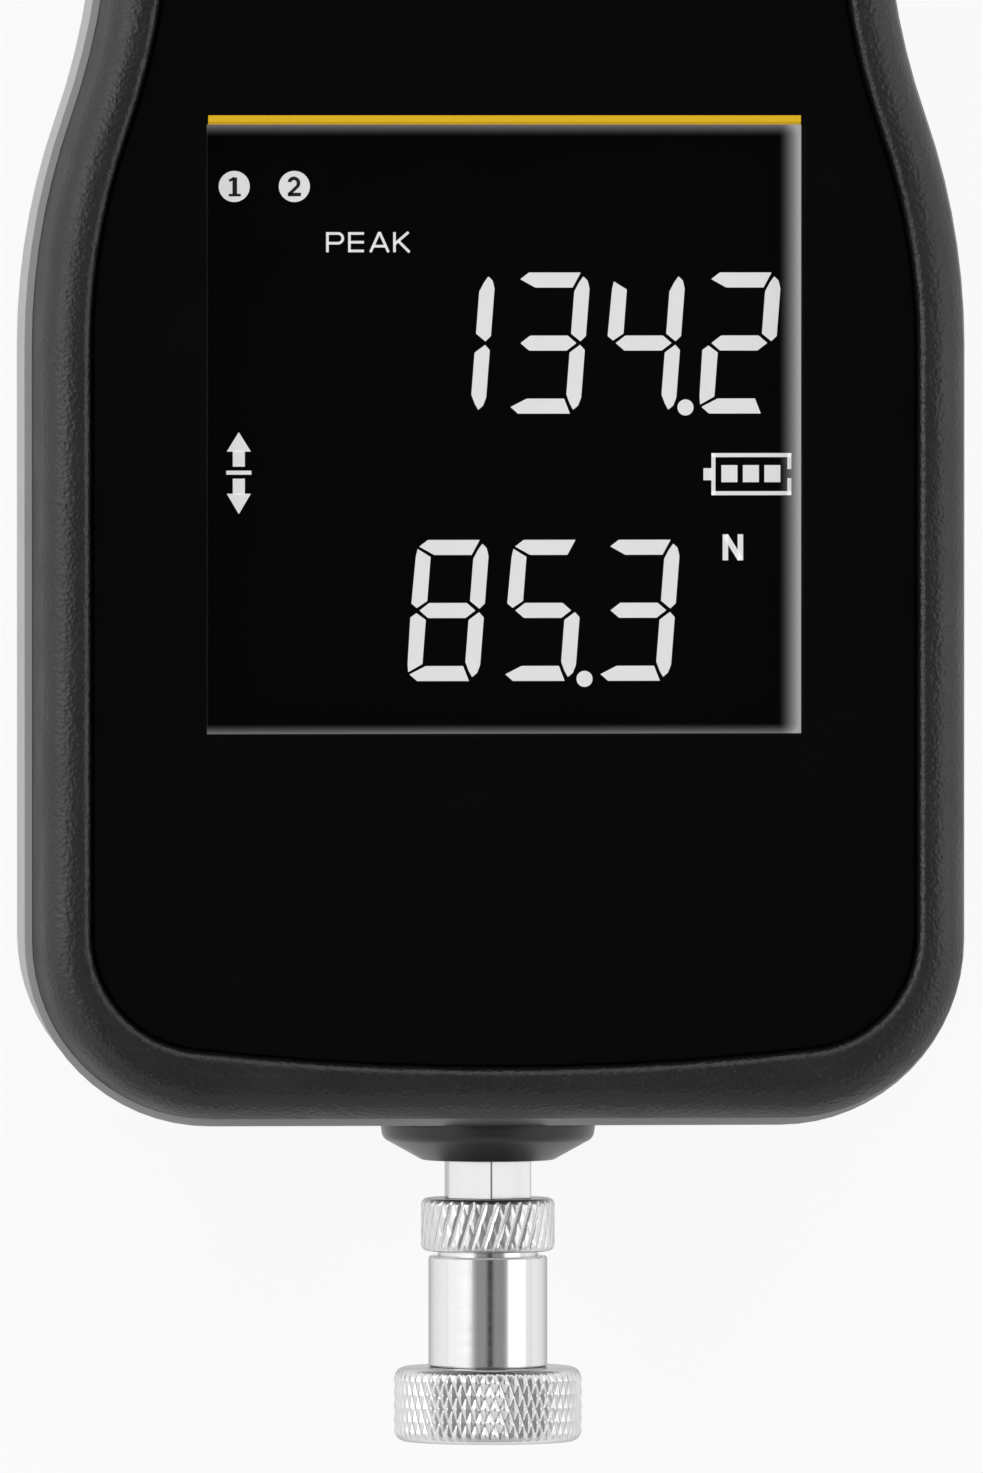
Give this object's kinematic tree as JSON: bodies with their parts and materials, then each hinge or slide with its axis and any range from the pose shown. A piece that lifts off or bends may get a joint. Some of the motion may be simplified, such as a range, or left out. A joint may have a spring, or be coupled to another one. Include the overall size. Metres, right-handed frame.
{
  "type": "force gauge",
  "caption": "Hand-held digital push and pull force gauge with a hexagonal spindle, knurled pressure foot, backlit display, keypad and a threaded back for a test stand.",
  "frame": {"origin": "middle of the overall length and width, on the plane of the flat back", "axes": "+Z out of the display; -Y the way the spindle points; +X to the right when the display is read with the spindle pointing down"},
  "size_m": [0.09, 0.2356, 0.042],
  "materials": {
    "shell_grey": "fine moulded grain",
    "bezel_black": "soft leathery grain",
    "panel_black": "very dark matt sheet",
    "lens_clear": "clear acrylic",
    "rubber_black": "matt",
    "lcd_black": "dark glass",
    "light_guide": "frosted",
    "tray_white": "moulded",
    "board_green": "solder mask",
    "chip_black": "moulded",
    "screw_steel": "zinc plated",
    "socket_steel": "stamped",
    "mat_grey": "silicone rubber",
    "insert_brass": "turned",
    "collar_black": "black anodised",
    "cell_alloy": "milled and anodised",
    "bracket_zinc": "zinc plated sheet",
    "contact_steel": "nickel plated spring strip",
    "spindle_steel": "turned and milled",
    "sleeve_steel": "polished",
    "ring_steel": "knurled",
    "foot_steel": "knurled",
    "battery_can": "printed sleeve, plain",
    "key_grey": "matt moulded",
    "key_orange": "matt moulded"
  },
  "bodies": {
    "case": {"rear_shell": "shell_grey", "front_shell": "bezel_black", "front_panel": "panel_black", "display_lens": "lens_clear", "lcd_gasket": "rubber_black", "lcd_glass": "lcd_black", "lcd_backlight": "light_guide", "lcd_frame": "tray_white", "main_board": "board_green", "board_components": "chip_black", "board_screws": "screw_steel", "buzzer": "chip_black", "usb_socket": "socket_steel", "keypad_mat": "mat_grey", "case_seal": "rubber_black", "case_screws": "screw_steel", "stand_inserts": "insert_brass", "spindle_collar": "collar_black", "collar_nut": "screw_steel", "load_cell": "cell_alloy", "cell_bracket": "bracket_zinc", "bracket_screws": "screw_steel", "cell_bolt": "screw_steel", "cell_cable": "rubber_black", "battery_1": "battery_can", "battery_2": "battery_can", "battery_3": "battery_can", "battery_4": "battery_can", "battery_contacts": "contact_steel"},
    "spindle": {"spindle": "spindle_steel", "spindle_nut": "screw_steel", "adapter_sleeve": "sleeve_steel"},
    "lock_ring": {"lock_ring": "ring_steel"},
    "foot": {"pressure_foot": "foot_steel"},
    "key_power": {"key_power": "key_orange"},
    "key_light": {"key_light": "key_grey"},
    "key_zero": {"key_zero": "key_grey"},
    "key_peak": {"key_peak": "key_grey"},
    "key_unit": {"key_unit": "key_grey"},
    "key_set": {"key_set": "key_grey"},
    "door": {"battery_door": "shell_grey"}
  },
  "joints": [
    {"name": "spindle_travel", "type": "slide", "parent": "case", "child": "spindle", "axis": [0, 1, 0], "range_m": [-0.0004, 0.0004], "stiffness_N_per_m": 4000, "deforming": ["load_cell"]},
    {"name": "lock_ring_turn", "type": "hinge", "parent": "spindle", "child": "lock_ring", "pos_m": [0, -0.097, 0.02], "axis": [0, -1, 0], "continuous": true},
    {"name": "foot_turn", "type": "hinge", "parent": "spindle", "child": "foot", "pos_m": [0, -0.1142, 0.02], "axis": [0, -1, 0], "continuous": true},
    {"name": "key_power_press", "type": "slide", "parent": "case", "child": "key_power", "axis": [0, 0, -1], "range_m": [0, 0.001], "stiffness_N_per_m": 1500, "deforming": ["keypad_mat"]},
    {"name": "key_light_press", "type": "slide", "parent": "case", "child": "key_light", "axis": [0, 0, -1], "range_m": [0, 0.001], "stiffness_N_per_m": 1500, "deforming": ["keypad_mat"]},
    {"name": "key_zero_press", "type": "slide", "parent": "case", "child": "key_zero", "axis": [0, 0, -1], "range_m": [0, 0.001], "stiffness_N_per_m": 1500, "deforming": ["keypad_mat"]},
    {"name": "key_peak_press", "type": "slide", "parent": "case", "child": "key_peak", "axis": [0, 0, -1], "range_m": [0, 0.001], "stiffness_N_per_m": 1500, "deforming": ["keypad_mat"]},
    {"name": "key_unit_press", "type": "slide", "parent": "case", "child": "key_unit", "axis": [0, 0, -1], "range_m": [0, 0.001], "stiffness_N_per_m": 1500, "deforming": ["keypad_mat"]},
    {"name": "key_set_press", "type": "slide", "parent": "case", "child": "key_set", "axis": [0, 0, -1], "range_m": [0, 0.001], "stiffness_N_per_m": 1500, "deforming": ["keypad_mat"]},
    {"name": "door_slide", "type": "slide", "parent": "case", "child": "door", "axis": [0, 1, 0], "range_m": [0, 0.06]}
  ]
}
